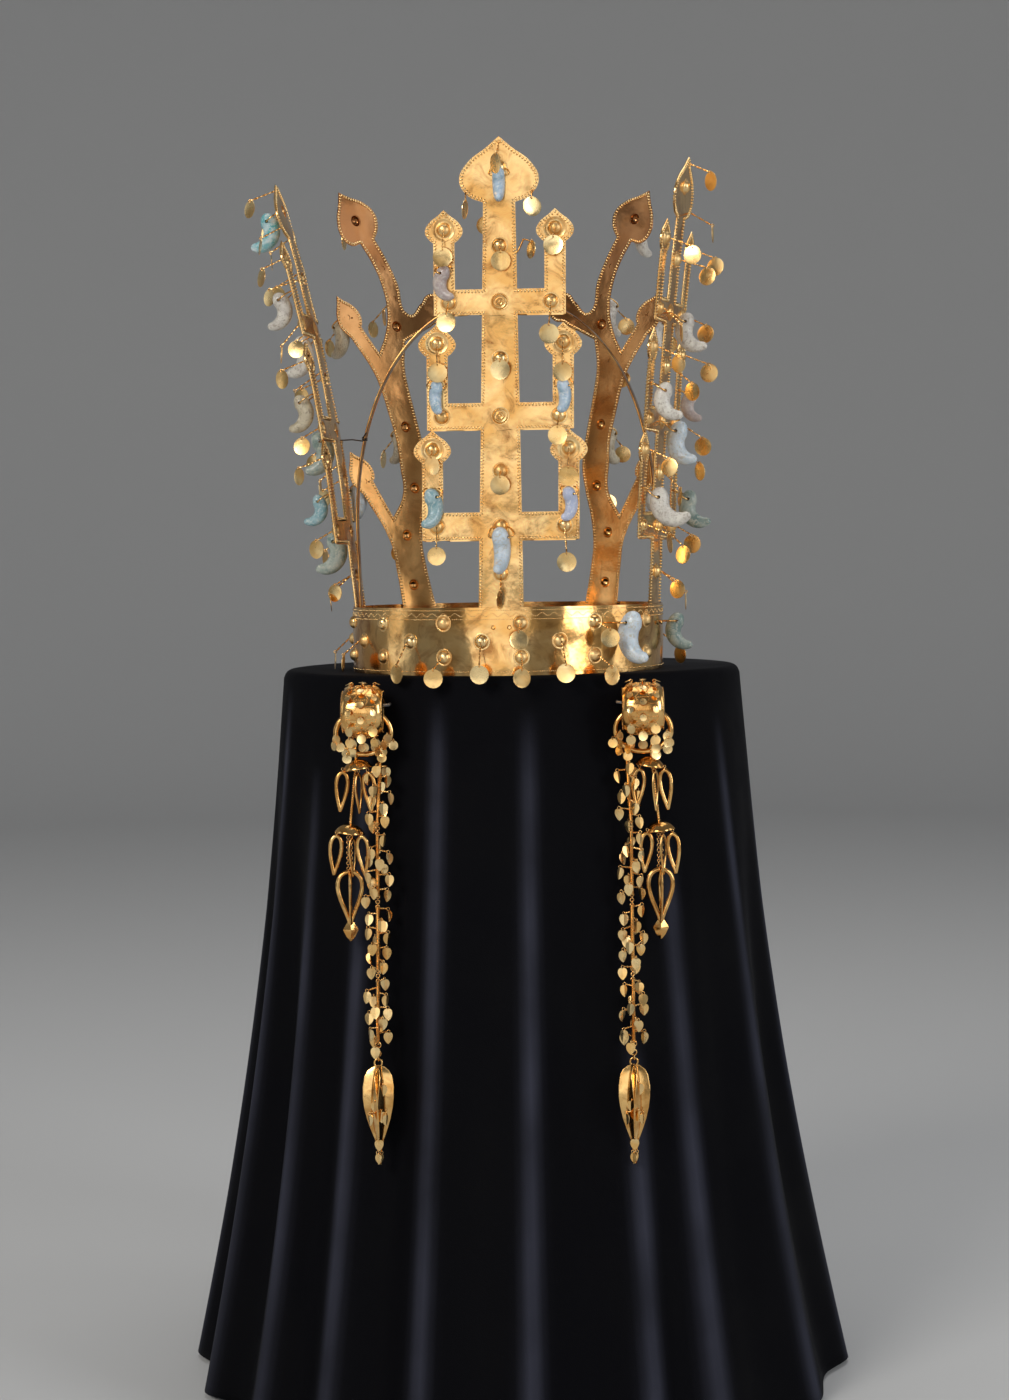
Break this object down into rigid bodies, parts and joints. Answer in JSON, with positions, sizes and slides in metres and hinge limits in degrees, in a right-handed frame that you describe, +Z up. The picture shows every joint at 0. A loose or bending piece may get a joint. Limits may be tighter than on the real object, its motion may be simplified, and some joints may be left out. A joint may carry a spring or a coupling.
{
  "type": "gold crown on draped stand",
  "caption": "Tall openwork crown of cut gold sheet with spangles and jade commas, standing on a round plinth under black velvet with two long gold pendants.",
  "frame": {"origin": "middle of the plinth's flat foot, on the floor it stands on", "axes": "+Z up, the crown's front faces -Y, +X to the right of someone who looks at its front"},
  "size_m": [0.4134, 0.4141, 0.7412],
  "materials": {
    "gold": "bright worn sheet gold",
    "jade": "polished stone",
    "velvet": "black velvet",
    "painted_wood": "matt paint",
    "steel": "satin wire"
  },
  "bodies": {
    "root": {"antler_left": "gold", "antler_right": "gold", "headband": "gold", "jade_antler_left_1": "jade", "jade_antler_left_2": "jade", "jade_antler_left_3": "jade", "jade_antler_right_1": "jade", "jade_antler_right_2": "jade", "jade_antler_right_3": "jade", "jade_antler_right_4": "jade", "jade_antler_right_5": "jade", "jade_band_1": "jade", "jade_band_2": "jade", "jade_front_1": "jade", "jade_front_2": "jade", "jade_front_3": "jade", "jade_front_4": "jade", "jade_front_5": "jade", "jade_front_6": "jade", "jade_front_7": "jade", "jade_left_1": "jade", "jade_left_2": "jade", "jade_left_3": "jade", "jade_left_4": "jade", "jade_left_5": "jade", "jade_left_6": "jade", "jade_left_7": "jade", "jade_right_1": "jade", "jade_right_2": "jade", "jade_right_3": "jade", "jade_right_4": "jade", "jade_right_5": "jade", "jade_right_6": "jade", "leaf_drop_left": "gold", "leaf_drop_right": "gold", "long_strand_left": "gold", "long_strand_right": "gold", "pendant_pin_left": "steel", "pendant_pin_right": "steel", "plinth": "painted_wood", "short_strand_left": "gold", "short_strand_right": "gold", "slim_ring_left": "gold", "slim_ring_right": "gold", "staple_antler_left": "gold", "staple_antler_right": "gold", "staple_back": "gold", "staple_front": "gold", "staple_left": "gold", "staple_right": "gold", "strap_front": "gold", "strap_side": "gold", "strap_spray": "gold", "thick_ring_left": "gold", "thick_ring_right": "gold", "tree_front": "gold", "tree_left": "gold", "tree_right": "gold", "velvet_cloth": "velvet"}
  },
  "joints": []
}
